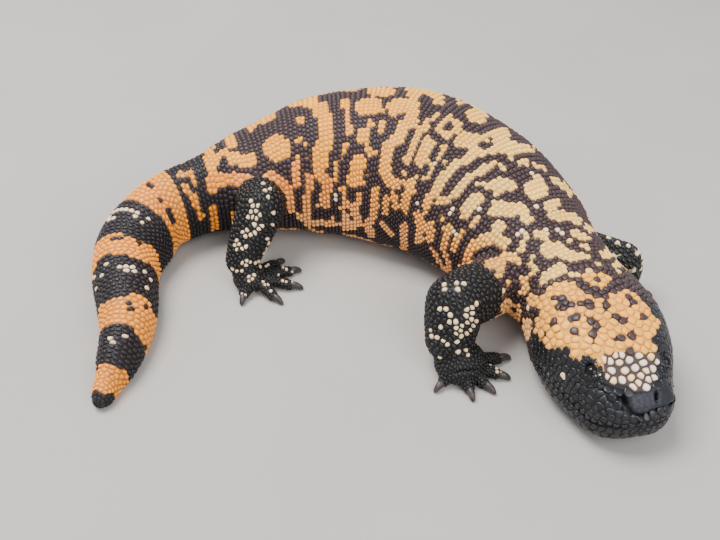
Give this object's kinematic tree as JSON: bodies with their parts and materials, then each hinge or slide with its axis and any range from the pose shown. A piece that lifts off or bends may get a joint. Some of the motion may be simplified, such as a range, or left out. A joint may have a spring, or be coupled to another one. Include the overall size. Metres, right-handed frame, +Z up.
{
  "type": "gila monster",
  "caption": "Life-size still model of a beaded lizard at rest on the floor, broad head low, heavy body curved to its right, short thick tail, clawed feet spread flat.",
  "frame": {"origin": "on the flat of the belly, on the floor under the middle of the trunk", "axes": "+Z up; +X from the tail's side towards the head's side, along the longest extent of the bent body; +Y towards the outside of the bend"},
  "size_m": [0.2696, 0.2153, 0.0701],
  "materials": {
    "eye_left": "polished",
    "eye_right": "polished",
    "front_left_claw_1": "satin",
    "front_left_claw_2": "satin",
    "front_left_claw_3": "satin",
    "front_left_claw_4": "satin",
    "front_left_claw_5": "satin",
    "front_left_foot": "satin, beaded",
    "front_left_lower_arm": "satin, beaded",
    "front_left_upper_arm": "satin, beaded",
    "front_right_claw_1": "satin",
    "front_right_claw_2": "satin",
    "front_right_claw_3": "satin",
    "front_right_claw_4": "satin",
    "front_right_claw_5": "satin",
    "front_right_foot": "satin, beaded",
    "front_right_lower_arm": "satin, beaded",
    "front_right_upper_arm": "satin, beaded",
    "head": "satin, beaded",
    "hind_left_claw_1": "satin",
    "hind_left_claw_2": "satin",
    "hind_left_claw_3": "satin",
    "hind_left_claw_4": "satin",
    "hind_left_claw_5": "satin",
    "hind_left_foot": "satin, beaded",
    "hind_left_lower_leg": "satin, beaded",
    "hind_left_upper_leg": "satin, beaded",
    "hind_right_claw_1": "satin",
    "hind_right_claw_2": "satin",
    "hind_right_claw_3": "satin",
    "hind_right_claw_4": "satin",
    "hind_right_claw_5": "satin",
    "hind_right_foot": "satin, beaded",
    "hind_right_lower_leg": "satin, beaded",
    "hind_right_upper_leg": "satin, beaded",
    "lower_jaw": "satin, beaded",
    "neck": "satin, beaded",
    "tail_base": "satin, beaded",
    "tail_end": "satin, beaded",
    "tail_middle": "satin, beaded",
    "torso_front": "satin, beaded",
    "torso_middle": "satin, beaded",
    "torso_rear": "satin, beaded"
  },
  "bodies": {
    "root": {"eye_left": "eye_left", "eye_right": "eye_right", "front_left_claw_1": "front_left_claw_1", "front_left_claw_2": "front_left_claw_2", "front_left_claw_3": "front_left_claw_3", "front_left_claw_4": "front_left_claw_4", "front_left_claw_5": "front_left_claw_5", "front_left_foot": "front_left_foot", "front_left_lower_arm": "front_left_lower_arm", "front_left_upper_arm": "front_left_upper_arm", "front_right_claw_1": "front_right_claw_1", "front_right_claw_2": "front_right_claw_2", "front_right_claw_3": "front_right_claw_3", "front_right_claw_4": "front_right_claw_4", "front_right_claw_5": "front_right_claw_5", "front_right_foot": "front_right_foot", "front_right_lower_arm": "front_right_lower_arm", "front_right_upper_arm": "front_right_upper_arm", "head": "head", "hind_left_claw_1": "hind_left_claw_1", "hind_left_claw_2": "hind_left_claw_2", "hind_left_claw_3": "hind_left_claw_3", "hind_left_claw_4": "hind_left_claw_4", "hind_left_claw_5": "hind_left_claw_5", "hind_left_foot": "hind_left_foot", "hind_left_lower_leg": "hind_left_lower_leg", "hind_left_upper_leg": "hind_left_upper_leg", "hind_right_claw_1": "hind_right_claw_1", "hind_right_claw_2": "hind_right_claw_2", "hind_right_claw_3": "hind_right_claw_3", "hind_right_claw_4": "hind_right_claw_4", "hind_right_claw_5": "hind_right_claw_5", "hind_right_foot": "hind_right_foot", "hind_right_lower_leg": "hind_right_lower_leg", "hind_right_upper_leg": "hind_right_upper_leg", "lower_jaw": "lower_jaw", "neck": "neck", "tail_base": "tail_base", "tail_end": "tail_end", "tail_middle": "tail_middle", "torso_front": "torso_front", "torso_middle": "torso_middle", "torso_rear": "torso_rear"}
  },
  "joints": []
}
